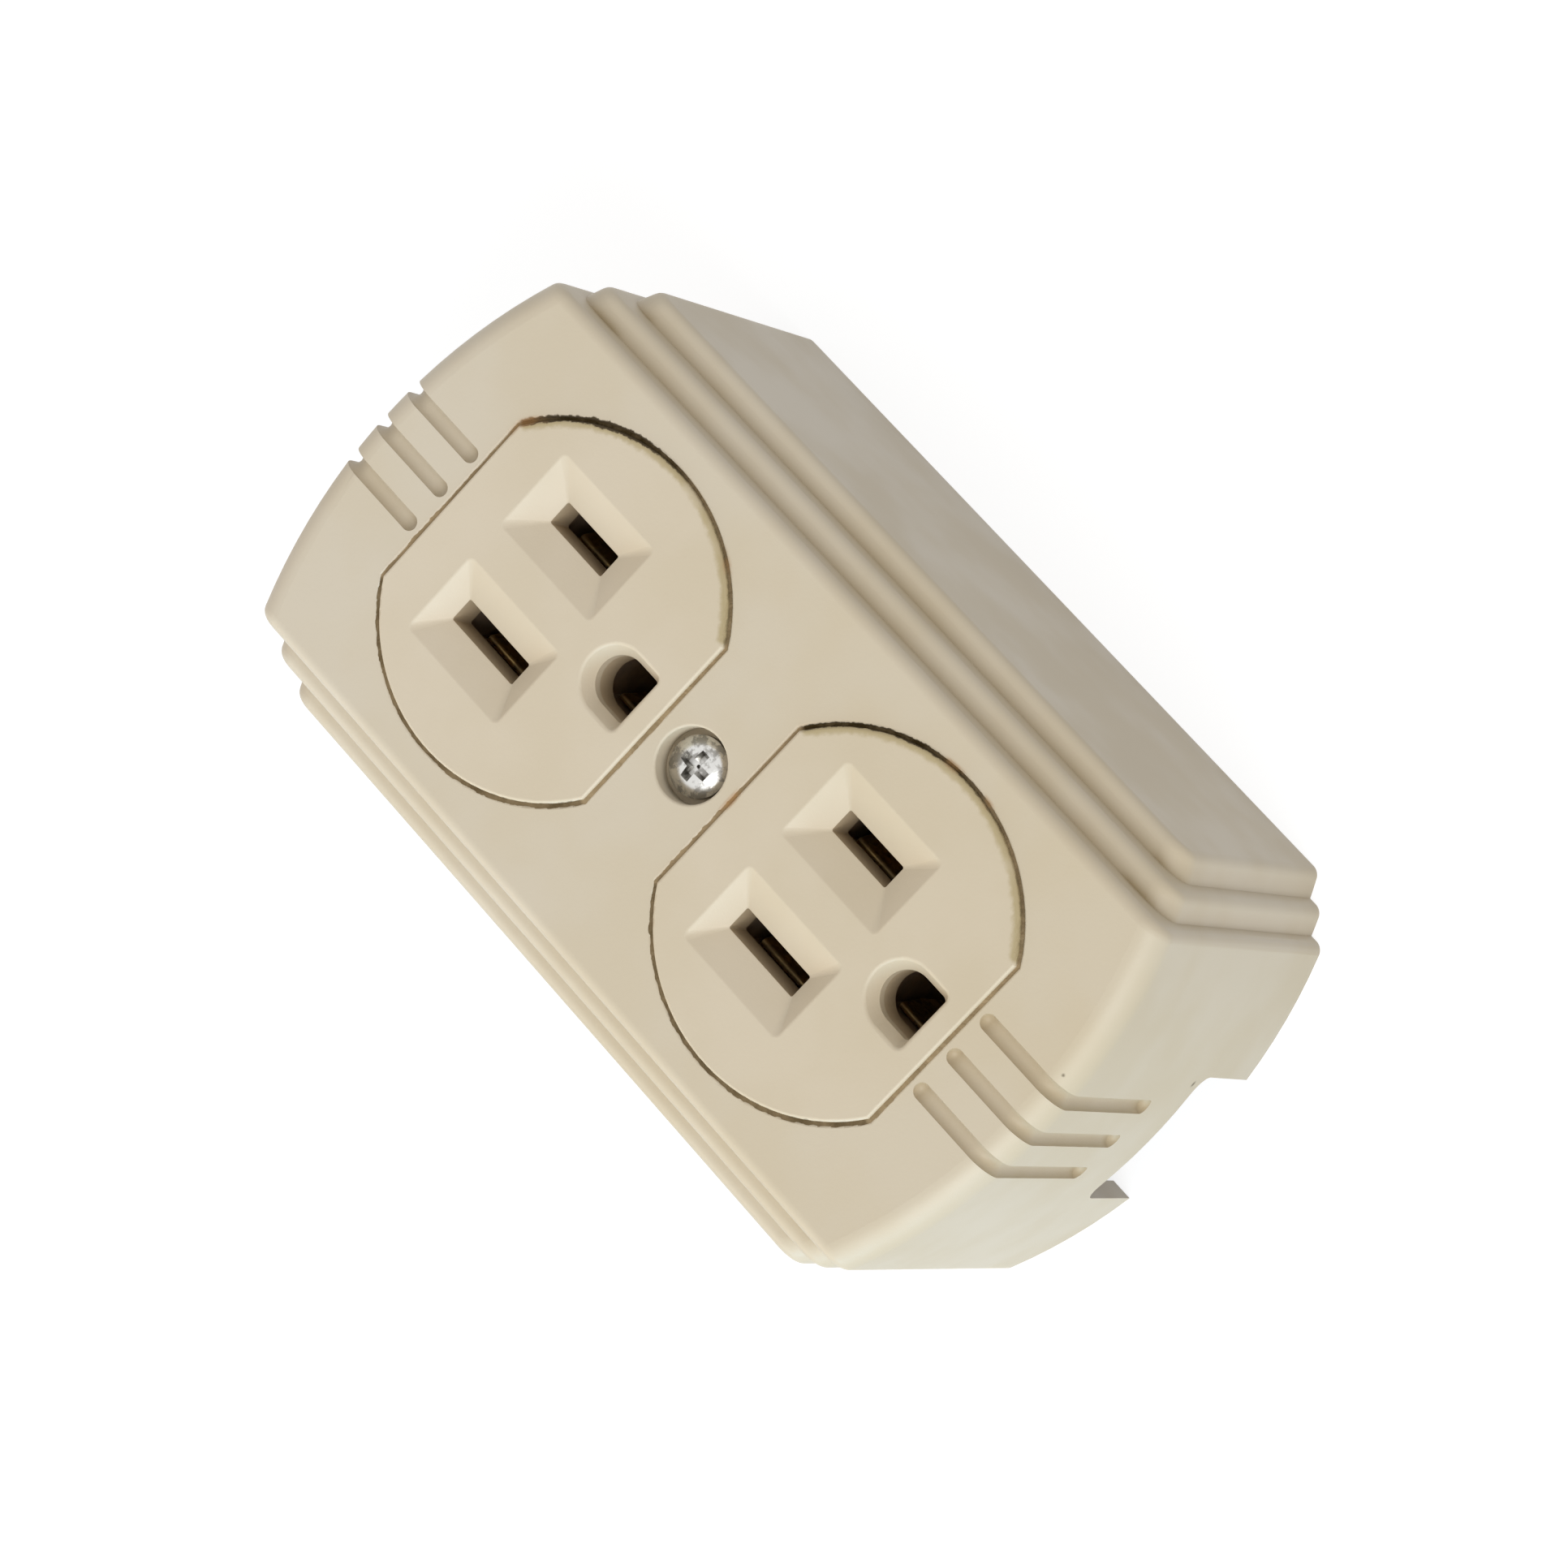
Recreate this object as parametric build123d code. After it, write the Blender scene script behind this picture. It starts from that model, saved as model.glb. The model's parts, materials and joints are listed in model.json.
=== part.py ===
from build123d import *
import os
from math import radians, sqrt, tan

# Duplex face pattern, in millimetres
face_pitch = 38.9
face_radius = 17.05
face_flat = 14.29
face_proud = 0.3
face_edge_round = 0.3
blade_spacing = 12.7
blade_rise = 2.85
earth_drop = 11.9
slot_width = 2.5
slot_corner = 0.2
neutral_slot_length = 8.5
line_slot_length = 7.1
funnel_width = 8.8
funnel_length = 12.6
funnel_depth = 1.6
earth_hole_width = 5.1
earth_hole_flat = 2.75
earth_mouth_width = 6.8
earth_mouth_flat = 3.0
earth_mouth_depth = 1.5
mouth_corner = 0.6
mouth_edge_round = 0.4

# Cover: a hollow moulding of three nested tiers, open at the back
cover_height = 43.2
plateau_margin = 3.6
end_margin = 11.3
end_bow_radius = 56.4
draft_angle = 1.25
wall = 2.2
tier_count = 3
tier_step_out = 2.4
tier_step_down = 3.4
tier_step_back = 1.3
end_round = 2.6
tier_round = 1.2
face_gap = 0.3
opening_edge_round = 0.25

# Decorative grooves over both ends, and the cable notch in the lower end wall
groove_count = 3
groove_pitch = 4.2
groove_width = 1.6
groove_depth = 0.75
groove_gap = 0.9
groove_drop = 21.4
groove_bend_extra = 0.5
notch_width = 15.8
notch_height = 12.5
notch_corner = 2.0

# Cover screw, its seat in the cover and the captive nut
screw_seat_diameter = 6.9
screw_seat_depth = 2.6
screw_head_diameter = 5.7
screw_head_height = 2.0
screw_head_rim = 0.5
cover_screw_diameter = 3.5
cover_screw_past_nut = 2.1
cover_boss_diameter = 9.0
cover_boss_depth = 1.6
nut_width = 6.4
nut_thickness = 2.8

# Front insulator, and the housing behind it with a pocket for each contact
flange_thickness = 2.8
flange_lip = 2.5
flange_corner = 3.0
pocket_width = 6.0
pocket_length = 10.4
earth_pocket = 7.4
pocket_wall = 2.2
side_wall = 3.1
driver_clearance = 4.6

# Base: a plate inside the cover's rim and a pedestal under the contacts
plate_thickness = 4.0
deck_height = 19.0
plate_gap = 0.4
relief_depth = 3.0
core_rows = 4
core_width = 6.0
core_rib = 2.2
core_roof = 3.5
wall_hole_spacing = 36.6
wall_hole_diameter = 4.4

# Contacts, folded from sheet
sheet = 0.8
bend_radius = 0.7
clip_width = 4.8
clip_height = 15.0
clip_pinch = 1.0
clip_mouth = 3.2
clip_throat = 4.0
leaf_length = 7.4
run_width = 3.0
arm_width = 7.0
ear_height = 11.0
earth_sheet = 0.6
earth_clip_width = 6.0
earth_clip_height = 14.0
earth_clip_pinch = 4.5
earth_clip_mouth = 5.6
earth_leaf_length = 5.4
strap_width = 5.0
strap_overlap = 4.0
rivet_diameter = 2.2
rivet_head_diameter = 3.8
rivet_head_height = 0.7

# Terminal and assembly screws
terminal_height = 6.2
terminal_diameter = 3.5
terminal_length = 3.4
terminal_head_diameter = 7.0
terminal_head_height = 2.2
terminal_slot_width = 1.1
terminal_slot_depth = 1.0
assembly_diameter = 2.9
assembly_bite = 3.0
assembly_head_diameter = 5.6
assembly_head_height = 1.9
cross_width = 0.95
cross_length = 3.3
cross_depth = 1.1
cross_taper = 15.0

# Clearances
fit_gap = 0.3
seat_gap = 0.15
hole_gap = 0.2
thread_gap = 0.05

# Worked out from the sizes above
plateau_half_width = face_radius + plateau_margin
plateau_half_length = face_pitch / 2 + face_flat + end_margin
bow_centre = plateau_half_length - end_bow_radius
face_centres = {"upper": face_pitch / 2, "lower": -face_pitch / 2}
blade_x = blade_spacing / 2
blade_lines = {name: y + blade_rise for name, y in face_centres.items()}
earth_lines = {name: y - earth_drop for name, y in blade_lines.items()}
front_inside = cover_height - wall
face_top = cover_height + face_proud
flange_bottom = front_inside - flange_thickness
block_half_width = blade_x + pocket_width / 2 + side_wall
block_top = blade_lines["upper"] + pocket_length / 2 + pocket_wall
block_bottom = earth_lines["lower"] - earth_pocket / 2 - pocket_wall
screw_seat = cover_height - screw_seat_depth
wall_hole_x = wall_hole_spacing / 2
ear_face = block_half_width + seat_gap + sheet
earth_ear_face = block_bottom - seat_gap - sheet
terminal_z = deck_height + terminal_height
groove_radius = groove_width**2 / (8 * groove_depth) + groove_depth / 2
groove_lift = groove_radius - groove_depth
groove_bend = end_round + groove_lift + groove_bend_extra
run_x = blade_x + clip_width / 2 - run_width / 2
assembly_head_seat = assembly_head_height + fit_gap


def span(low, high):
    """Box from one corner to the opposite one."""
    size = [b - a for a, b in zip(low, high)]
    centre = [(a + b) / 2 for a, b in zip(low, high)]
    return Pos(*centre) * Box(*size)


def rod(diameter, low, high, x=0.0, y=0.0):
    """Upright cylinder between two heights."""
    return Pos(x, y, (low + high) / 2) * Cylinder(diameter / 2, high - low)


def mirrored(solid):
    """The same solid on the other side of the middle plane."""
    return mirror(solid, about=Plane.YZ)


def face_outline(grow=0.0):
    """Round face with two flats, let out by grow."""
    return Circle(face_radius + grow) & Rectangle(2 * (face_radius + grow), 2 * (face_flat + grow))


def earth_outline(width, flat):
    """Earth hole: round towards the blades and flat on the far side."""
    half_round = Circle(width / 2) & Pos(0, width / 4) * Rectangle(width, width / 2)
    outline = half_round + Pos(0, -flat / 2) * Rectangle(width, flat)
    return fillet(outline.vertices().group_by(Axis.Y)[0], mouth_corner)


def bowed_outline(half_width, bow):
    """Rectangle with both ends bowed outwards."""
    strip = Rectangle(2 * half_width, 2 * bow)
    return strip & Pos(0, bow_centre) * Circle(bow) & Pos(0, -bow_centre) * Circle(bow)


def tier_outline(index, inset, height):
    """Outline of one tier at a height, drawn in by inset and let out below its top by the draft."""
    top = cover_height - index * tier_step_down - inset
    spread = (top - height) * tan(radians(draft_angle))
    half_width = plateau_half_width + index * tier_step_out - inset + spread
    bow = end_bow_radius - index * tier_step_back - inset + spread
    return bowed_outline(half_width, bow)


def tier_block(index, inset=0.0):
    """One of the nested blocks, drafted from the back edge to its top."""
    height = cover_height - index * tier_step_down - inset
    return extrude(tier_outline(index, inset, 0), amount=height, taper=draft_angle)


def rounded_tier(index):
    """A tier with rounded ends and a bead that runs along its front edges and down its corners."""
    block = tier_block(index)
    top_face = block.faces().sort_by(Axis.Z)[-1]
    block = fillet(top_face.edges().filter_by(GeomType.CIRCLE), end_round)
    sides = block.faces().filter_by(lambda face: abs(face.normal_at().X) > abs(face.normal_at().Y))
    sides = sides.filter_by(GeomType.PLANE).filter_by(Axis.Z, reverse=True)
    bead = [edge for side in sides for edge in side.edges() if edge.center().Z > tier_round]
    return fillet(bead, tier_round)


def end_groove(x):
    """Half-round groove from beside the upper face over the end's edge and down its wall."""
    edge = bow_centre + sqrt(end_bow_radius**2 - x**2) + groove_lift
    start = plateau_half_length - end_margin + groove_gap + groove_width / 2
    foot = edge + groove_drop * tan(radians(draft_angle))
    top = cover_height + groove_lift
    corners = [(start, top), (edge, top), (foot, cover_height - groove_drop)]
    path = Plane.YZ.offset(x) * FilletPolyline(*corners, radius=groove_bend)
    ends = [Pos(path @ place) * Sphere(groove_radius) for place in (0, 1)]
    return sweep(Plane(path @ 0, z_dir=path % 0) * Circle(groove_radius), path=path) + ends


def cross_recess(head_top):
    """Cross-shaped driver recess, narrowing downwards from the top of a head."""
    cross = Rectangle(cross_length, cross_width) + Rectangle(cross_width, cross_length)
    return Pos(0, 0, head_top) * extrude(cross, amount=-cross_depth, taper=cross_taper)


def make_cover():
    """Outer moulding with its openings, screw seat, grooves and cable notch."""
    cover = rounded_tier(0) + [rounded_tier(index) for index in range(1, tier_count)]
    cover -= [tier_block(index, wall) for index in range(tier_count)]
    cover += rod(cover_boss_diameter, front_inside - cover_boss_depth, front_inside)
    for y in face_centres.values():
        cover -= Pos(0, y, front_inside) * extrude(face_outline(face_gap), amount=wall)
    rims = cover.faces().sort_by(Axis.Z)[-1].inner_wires().edges()
    cover = fillet(rims, opening_edge_round)
    cover -= rod(screw_seat_diameter, screw_seat, cover_height)
    seat_rim = cover.faces().sort_by(Axis.Z)[-1].inner_wires().sort_by(SortBy.LENGTH)[0]
    cover = fillet(seat_rim.edges(), opening_edge_round)
    cover -= rod(cover_screw_diameter + 2 * hole_gap, 0, cover_height)
    steps = [index - (groove_count - 1) / 2 for index in range(groove_count)]
    grooves = [end_groove(step * groove_pitch) for step in steps]
    cover -= grooves + [mirror(groove, about=Plane.XZ) for groove in grooves]
    notch = Plane.XZ * RectangleRounded(notch_width, 2 * notch_height, notch_corner)
    return cover - extrude(notch, amount=plateau_half_length + end_margin)


def make_socket_face():
    """Front insulator: two raised faces on a flange that the cover clamps from the front."""
    half_length = plateau_half_length - end_margin + flange_lip
    half_width = plateau_half_width - wall - fit_gap
    flange = RectangleRounded(2 * half_width, 2 * half_length, flange_corner)
    flange -= [Pos(side * wall_hole_x, 0) * Circle(driver_clearance) for side in (-1, 1)]
    body = Pos(0, 0, flange_bottom) * extrude(flange, amount=flange_thickness)
    for name, y in face_centres.items():
        raised = extrude(face_outline(), amount=face_top - flange_bottom)
        raised = fillet(raised.faces().sort_by(Axis.Z)[-1].edges(), face_edge_round)
        body += Pos(0, y, flange_bottom) * raised
        body -= blade_entries(blade_lines[name]) + [earth_entry(earth_lines[name])]
        thread = assembly_diameter + 2 * thread_gap
        body -= rod(thread, flange_bottom, flange_bottom + assembly_bite, y=blade_lines[name])
    fronts = body.faces().group_by(Axis.Z)[-1]
    body = fillet([edge for front in fronts for edge in front.inner_wires().edges()], mouth_edge_round)
    body -= rod(cover_boss_diameter + 2 * hole_gap, front_inside - cover_boss_depth - hole_gap, front_inside)
    return body - rod(cover_screw_diameter + 2 * hole_gap, flange_bottom, front_inside)


def entry(x, y, depth, mouth, throat):
    """Tapered mouth that narrows to a hole through the front insulator."""
    top = Pos(x, y, face_top) * mouth
    bottom = Pos(x, y, face_top - depth) * throat
    return loft([top, bottom]) + extrude(bottom, amount=flange_bottom + depth - face_top)


def blade_entries(y):
    """Entries for the neutral and line blades of one face."""
    mouth = RectangleRounded(funnel_width, funnel_length, mouth_corner)
    slots = {-blade_x: neutral_slot_length, blade_x: line_slot_length}
    slots = {x: RectangleRounded(slot_width, length, slot_corner) for x, length in slots.items()}
    return [entry(x, y, funnel_depth, mouth, slot) for x, slot in slots.items()]


def earth_entry(y):
    """Entry for the earth pin of one face."""
    mouth = earth_outline(earth_mouth_width, earth_mouth_flat)
    return entry(0, y, earth_mouth_depth, mouth, earth_outline(earth_hole_width, earth_hole_flat))


def make_contact_housing():
    """Block between the base and the front insulator, with an open pocket round each contact."""
    low_corner = (-block_half_width, block_bottom, deck_height)
    housing = span(low_corner, (block_half_width, block_top, flange_bottom))
    height = flange_bottom - deck_height
    for name in face_centres:
        for side in (-1, 1):
            place = Pos(side * blade_x, blade_lines[name], deck_height)
            housing -= extrude(place * Rectangle(pocket_width, pocket_length), amount=height)
            housing -= terminal_hole(side, blade_lines[name])
        pocket = Pos(0, earth_lines[name], deck_height) * Rectangle(earth_pocket, earth_pocket)
        housing -= extrude(pocket, amount=height)
        housing -= rod(assembly_diameter + 2 * hole_gap, deck_height, flange_bottom, y=blade_lines[name])
    housing -= earth_terminal_hole()
    return housing - rod(cover_screw_diameter + 2 * hole_gap, deck_height, flange_bottom)


def terminal_hole(side, y):
    """Room in the housing's side for the tip of a terminal screw."""
    depth = terminal_length - sheet - seat_gap + hole_gap
    hole = Cylinder(terminal_diameter / 2 + hole_gap, depth)
    return Pos(side * (block_half_width - depth / 2), y, terminal_z) * Rot(0, 90, 0) * hole


def earth_terminal_hole():
    """Room in the housing's lower end for the tip of the earth terminal screw."""
    depth = min(terminal_length - sheet - seat_gap + hole_gap, pocket_wall)
    hole = Cylinder(terminal_diameter / 2 + hole_gap, depth)
    return Pos(0, block_bottom + depth / 2, terminal_z) * Rot(90, 0, 0) * hole


def make_base():
    """Rear insulator with seats for the contacts, the nut and the screws, cored out from behind."""
    inset = wall + plate_gap
    base = extrude(tier_outline(0, inset, 0), amount=plate_thickness)
    base += [extrude(tier_outline(index, inset, 0), amount=plate_thickness) for index in range(1, tier_count)]
    base += span((-block_half_width, block_bottom, 0), (block_half_width, block_top, deck_height))
    floor = deck_height - sheet
    base -= [grown(seat) for seat in contact_plan()]
    base -= mirrored(Part() + [grown(seat) for seat in contact_plan()])
    base -= span(
        (-strap_width / 2 - seat_gap, block_bottom, floor),
        (strap_width / 2 + seat_gap, strap_end() + seat_gap, deck_height),
    )
    nut_half = nut_width / 2 + seat_gap
    base -= span((-nut_half, -nut_half, floor - nut_thickness), (nut_half, nut_half, deck_height))
    base -= rod(cover_screw_diameter + 2 * hole_gap, screw_tip() - fit_gap, deck_height)
    for name in face_centres:
        relief_floor = floor - rivet_head_height - hole_gap
        base -= rod(rivet_head_diameter + 2 * hole_gap, relief_floor, floor, y=earth_lines[name])
        base -= rod(assembly_diameter + 2 * hole_gap, 0, deck_height, y=blade_lines[name])
        base -= rod(assembly_head_diameter + 2 * fit_gap, 0, assembly_head_seat, y=blade_lines[name])
    for side in (-1, 1):
        base -= rod(wall_hole_diameter, 0, plate_thickness, x=side * wall_hole_x)
    base -= cable_relief()
    return base - base_cores()


def contact_plan():
    """Flat footprint of the line contact on the deck: its run, and a clip and an arm at each blade."""
    low, high = min(blade_lines.values()), max(blade_lines.values())
    floor = deck_height - sheet
    plan = [span((run_x - run_width / 2, low, floor), (run_x + run_width / 2, high, deck_height))]
    for y in blade_lines.values():
        clip = (blade_x - clip_width / 2, y - leaf_length / 2, floor)
        plan.append(span(clip, (blade_x + clip_width / 2, y + leaf_length / 2, deck_height)))
        plan.append(span((run_x, y - arm_width / 2, floor), (ear_face, y + arm_width / 2, deck_height)))
    return plan


def grown(seat):
    """A box let out sideways by the seat clearance, with the same floor and top."""
    box = seat.bounding_box()
    low = (box.min.X - seat_gap, box.min.Y - seat_gap, box.min.Z)
    return span(low, (box.max.X + seat_gap, box.max.Y + seat_gap, box.max.Z))


def cable_relief():
    """Cut in the plate's lower end that leaves the cable notch clear."""
    plate_end = plateau_half_length + cover_height * tan(radians(draft_angle)) - wall - plate_gap
    half_width = notch_width / 2 + fit_gap
    return span((-half_width, -plate_end, 0), (half_width, relief_depth - plate_end, plate_thickness))


def base_cores():
    """Recesses in the back of the pedestal, in two rows between ribs."""
    pitch = (block_top - block_bottom - core_rib) / core_rows
    roof = deck_height - sheet - core_roof
    inner = block_half_width - core_rib - core_width
    cores = []
    for row in range(core_rows):
        low = block_bottom + core_rib + row * pitch
        core = span((inner, low, 0), (inner + core_width, low + pitch - core_rib, roof))
        cores += [core, mirrored(core)]
    return cores


def screw_tip():
    """Height of the cover screw's tip, a little past the nut."""
    return deck_height - sheet - nut_thickness - cover_screw_past_nut


def strap_end():
    """Upper end of the earth strap, a little past the upper earth clip."""
    return earth_lines["upper"] + strap_overlap


def make_cover_screw():
    """Domed screw with a cross recess, sunk below the front."""
    top = screw_seat + screw_head_height
    rise = screw_head_height - screw_head_rim
    dome = screw_head_diameter**2 / (8 * rise) + rise / 2
    head = rod(screw_head_diameter, screw_seat, top) & Pos(0, 0, top - dome) * Sphere(dome)
    shank = rod(cover_screw_diameter, screw_tip(), screw_seat)
    shank = chamfer(shank.edges().sort_by(Axis.Z)[0], cover_screw_diameter / 5)
    return head + shank - cross_recess(top)


def make_cover_nut():
    """Square nut under the earth strap."""
    top = deck_height - sheet
    nut = span((-nut_width / 2, -nut_width / 2, top - nut_thickness), (nut_width / 2, nut_width / 2, top))
    return nut - rod(cover_screw_diameter + 2 * thread_gap, top - nut_thickness, top)


def spring_clip(width, height, pinch, mouth, thickness, leaf):
    """U-shaped clip whose leaves lean in to a pinch and flare at the mouth, standing on z = 0."""
    half, half_sheet = width / 2 - thickness / 2, thickness / 2
    pinch_x, mouth_x = pinch / 2 + half_sheet, mouth / 2 + half_sheet
    pinch_z, top_z = height - clip_throat, height - half_sheet
    right = [(half, half_sheet), (pinch_x, pinch_z), (mouth_x, top_z)]
    left = [(-x, z) for x, z in reversed(right)]
    line = FilletPolyline(*left, *right, radius=bend_radius)
    profile = make_face(offset(line, amount=half_sheet, side=Side.BOTH).edges())
    return extrude(Plane.XZ * profile, amount=leaf / 2, both=True)


def make_line_contact():
    """Strip with two blade clips, and an arm and a terminal ear for each."""
    contact = Part() + contact_plan()
    for y in blade_lines.values():
        clip = spring_clip(clip_width, clip_height + sheet, clip_pinch, clip_mouth, sheet, leaf_length)
        contact += Pos(blade_x, y, deck_height - sheet) * clip
        ear_low = (ear_face - sheet, y - arm_width / 2, deck_height - sheet)
        contact += span(ear_low, (ear_face, y + arm_width / 2, deck_height + ear_height))
        hole = Cylinder(terminal_diameter / 2 + thread_gap, 4 * sheet)
        contact -= Pos(ear_face - sheet / 2, y, terminal_z) * Rot(0, 90, 0) * hole
    return contact


def make_earth_strap():
    """Flat strip down the middle with an upturned terminal ear at its lower end."""
    half = strap_width / 2
    floor = deck_height - sheet
    strap = span((-half, earth_ear_face, floor), (half, strap_end(), deck_height))
    ear_low = (-arm_width / 2, earth_ear_face, floor)
    strap += span(ear_low, (arm_width / 2, earth_ear_face + sheet, deck_height + ear_height))
    hole = Cylinder(terminal_diameter / 2 + thread_gap, 4 * sheet)
    strap -= Pos(0, earth_ear_face + sheet / 2, terminal_z) * Rot(90, 0, 0) * hole
    strap -= rod(cover_screw_diameter + 2 * hole_gap, floor, deck_height)
    strap -= rod(assembly_diameter + 2 * hole_gap, floor, deck_height, y=blade_lines["lower"])
    for y in earth_lines.values():
        strap -= rod(rivet_diameter + 2 * thread_gap, floor, deck_height, y=y)
    return strap


def make_earth_contact(y):
    """Sprung clip for one earth pin, riveted to the strap."""
    sizes = (earth_clip_width, earth_clip_height, earth_clip_pinch, earth_clip_mouth)
    clip = spring_clip(*sizes, earth_sheet, earth_leaf_length)
    hole = rod(rivet_diameter + 2 * thread_gap, 0, earth_sheet)
    return Pos(0, y, deck_height) * (clip - hole)


def make_earth_rivet(y):
    """Rivet through the strap and the foot of an earth clip."""
    under, over = deck_height - sheet, deck_height + earth_sheet
    rivet = rod(rivet_diameter, under, over)
    rivet += rod(rivet_head_diameter, under - rivet_head_height, under)
    rivet += rod(rivet_head_diameter, over, over + rivet_head_height)
    return Pos(0, y, 0) * rivet


def terminal_screw():
    """Slotted binding screw along +Z, with its head's underside at the origin."""
    head = rod(terminal_head_diameter, 0, terminal_head_height)
    head = chamfer(head.edges().sort_by(Axis.Z)[-1], terminal_head_height / 4)
    slot = Box(2 * terminal_head_diameter, terminal_slot_width, 2 * terminal_slot_depth)
    return head + rod(terminal_diameter, -terminal_length, 0) - Pos(0, 0, terminal_head_height) * slot


def make_assembly_screw(y):
    """Screw driven from the back through the base and housing into the front insulator."""
    low = assembly_head_seat - assembly_head_height
    top = flange_bottom + assembly_bite - fit_gap
    screw = rod(assembly_head_diameter, low, assembly_head_seat)
    screw += rod(assembly_diameter, assembly_head_seat, top)
    recess = mirror(cross_recess(0), about=Plane.XY)
    return Pos(0, y, 0) * (screw - Pos(0, 0, low) * recess)


def make_nodes():
    """Every piece of the socket by name."""
    line_contact = make_line_contact()
    nodes = {
        "cover": make_cover(),
        "cover_screw": make_cover_screw(),
        "cover_nut": make_cover_nut(),
        "socket_face": make_socket_face(),
        "contact_housing": make_contact_housing(),
        "base": make_base(),
        "line_contact": line_contact,
        "neutral_contact": mirrored(line_contact),
        "earth_strap": make_earth_strap(),
    }
    for name in face_centres:
        nodes[f"earth_contact_{name}"] = make_earth_contact(earth_lines[name])
        nodes[f"earth_rivet_{name}"] = make_earth_rivet(earth_lines[name])
        nodes[f"assembly_screw_{name}"] = make_assembly_screw(blade_lines[name])
        line_screw = Pos(ear_face, blade_lines[name], terminal_z) * Rot(0, 90, 0) * terminal_screw()
        nodes[f"line_terminal_screw_{name}"] = line_screw
        nodes[f"neutral_terminal_screw_{name}"] = mirrored(line_screw)
    nodes["earth_terminal_screw"] = Pos(0, earth_ear_face, terminal_z) * Rot(90, 0, 0) * terminal_screw()
    return nodes


os.makedirs("parts", exist_ok=True)
for node_name, solid in make_nodes().items():
    export_step(solid, f"parts/{node_name}.step")
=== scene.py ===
import json
from math import asin, cos, degrees, pi, radians, sin

import bmesh
import bpy
from bpy.props import FloatProperty, FloatVectorProperty, PointerProperty
from mathutils import Matrix, Quaternion, Vector, noise


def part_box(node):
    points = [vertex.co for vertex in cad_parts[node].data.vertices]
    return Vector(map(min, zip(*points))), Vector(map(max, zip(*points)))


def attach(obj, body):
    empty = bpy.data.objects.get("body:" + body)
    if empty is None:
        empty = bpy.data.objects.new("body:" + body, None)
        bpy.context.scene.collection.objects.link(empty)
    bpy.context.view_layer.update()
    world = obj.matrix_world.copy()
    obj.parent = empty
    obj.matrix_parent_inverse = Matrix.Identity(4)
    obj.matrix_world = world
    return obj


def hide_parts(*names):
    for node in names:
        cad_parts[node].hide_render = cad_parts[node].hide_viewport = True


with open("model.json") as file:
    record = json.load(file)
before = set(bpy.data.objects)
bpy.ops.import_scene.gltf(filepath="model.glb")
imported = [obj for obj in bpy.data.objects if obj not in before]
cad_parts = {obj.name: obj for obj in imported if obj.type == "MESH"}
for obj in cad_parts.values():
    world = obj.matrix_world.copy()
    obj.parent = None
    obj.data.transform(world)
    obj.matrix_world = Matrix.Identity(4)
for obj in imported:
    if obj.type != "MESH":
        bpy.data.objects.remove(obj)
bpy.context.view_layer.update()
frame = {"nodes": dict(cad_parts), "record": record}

bl_info = {
    "name": "Surface-mounted duplex socket",
    "version": (1, 0, 0),
    "blender": (4, 5, 0),
    "location": "3D View > Sidebar > Socket",
    "description": "Finishes an ivory surface-mounted socket and sets a plain studio round it",
    "category": "Object",
}

MM = 0.001
NODES = frame["nodes"]
PLACES = {mount["name"]: Vector(mount["pos_m"]) for mount in frame["record"]["mounts"]}
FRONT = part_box("cover")[1].z
UP = Vector((0, 0, 1))

# Corners this near to each other are one corner of a turned shape, or a sliver that a cut leaves
MERGED = 1e-7
SLIVER = 1e-6

# Thread radius and head height of each kind of screw, and the upright rim below the cover screw's dome
COVER_SCREW = (1.75 * MM, 1.94 * MM)
COVER_SCREW_RIM = 0.9 * MM
ASSEMBLY_SCREW = (1.45 * MM, 1.9 * MM)
TERMINAL_SCREW = (1.75 * MM, 2.2 * MM)

# Steps in one turn of a screw and of its thread, and the angle from which an edge looks sharp
TURNED_STEPS = 64
THREAD_STEPS = 24
SHARP_EDGE = radians(32)

# Dirt in the joints: how far it runs into the face and the cover, its depth, steps and lumps
FACE_OVERLAP = 0.05 * MM
COVER_OVERLAP = 0.15 * MM
DIRT_DEPTH = 1.0 * MM
DIRT_STEPS = 480
LUMP_HEIGHT = 0.11 * MM

# Scales of the noises, in cells per metre
LUMPS = 900
FINE_LUMPS = 2600
RAGGED_EDGE = 1500.0
SLOW_CHANGE = 160.0
RAGGED_SPOT = 900.0
BLOTCH = 420.0

# Depth of the mouths of the plug entries, how far above and below it the darkening sets in, and its run; the
# darkening is painted shade with dirt
MOUTH_DEPTH = 1.3 * MM
LIP_ABOVE = 0.1 * MM
LIP_BELOW = 0.2 * MM
ENTRY_RUN = 5.0 * MM

# The earth holes lie nearer the middle than the slots, and their painted shade and dirt start this much
# deeper
EARTH_EDGE = (3.7 * MM, 4.3 * MM)
EARTH_DROP = 0.9 * MM

# Where the ivory yellows along and across the socket, and where its grooved ends begin
AGED_ALONG = 45 * MM
AGED_ACROSS = (-10 * MM, 25 * MM)
GROOVED_ENDS = (33 * MM, 35 * MM)

# Reach of the painted shade in crevices on the plastics and the metals, and height of the relief of each
# finish
PLASTIC_CREVICE = 1.5 * MM
METAL_CREVICE = 1.0 * MM
IVORY_RELIEF = 0.012 * MM
WORKS_RELIEF = 0.02 * MM
DIRT_RELIEF = 0.05 * MM
METAL_RELIEF = 0.006 * MM

# Light on the open floor, where 1 shows a colour as written
FLOOR_LIGHT = 0.65

# Stains beside the joints and dark specks at the lower end: place and radius in millimetres
STAINS = [
    (9.97, 33.29, 43.2, 2.2),
    (15.35, 10.01, 43.2, 1.6),
    (17.84, -17.3, 43.2, 1.6),
    (17.76, -22.15, 43.2, 1.4),
    (0.59, -4.83, 43.2, 1.6),
]
SPECKS = [
    (5.86, -43.24, 42.97, 0.24),
    (7.03, -45.23, 13.87, 0.45),
]


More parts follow.
